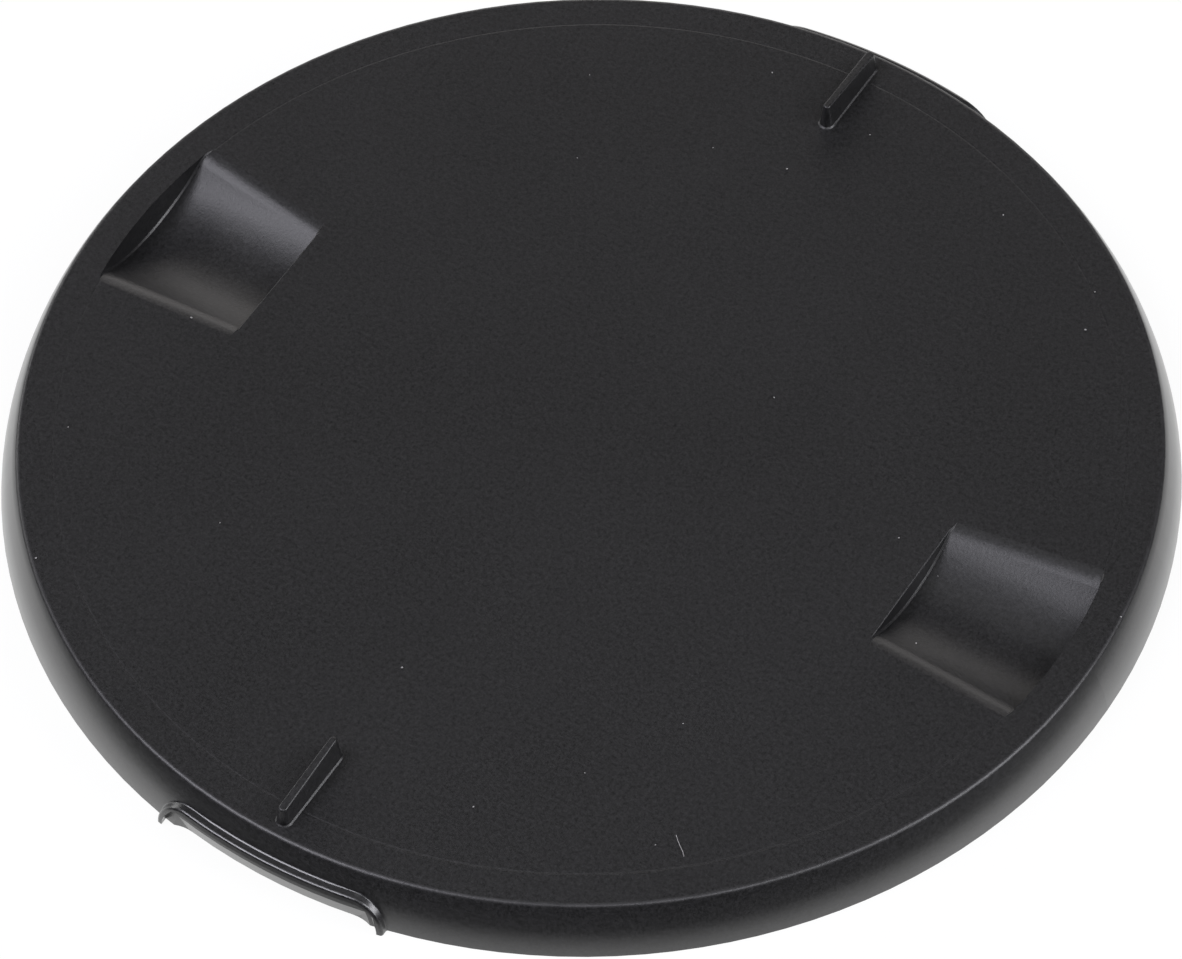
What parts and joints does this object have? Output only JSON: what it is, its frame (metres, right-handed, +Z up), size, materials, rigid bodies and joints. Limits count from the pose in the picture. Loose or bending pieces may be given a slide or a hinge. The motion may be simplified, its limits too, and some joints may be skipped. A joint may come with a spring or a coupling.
{
  "type": "robot mop drip tray",
  "caption": "Shallow round moulded tray with a flat deck, sunken wheel scoops, upright guide fins and arched grips on its rim; catches drips under a parked floor-mopping robot.",
  "frame": {"origin": "centre of the tray on the floor it stands on", "axes": "+X through the right wheel scoop, +Y through the far fin and grip, +Z up"},
  "size_m": [0.173, 0.1734, 0.0124],
  "materials": {
    "black_plastic": "matte black moulded plastic with a fine even grain"
  },
  "bodies": {
    "root": {"drip_tray": "black_plastic"}
  },
  "joints": []
}
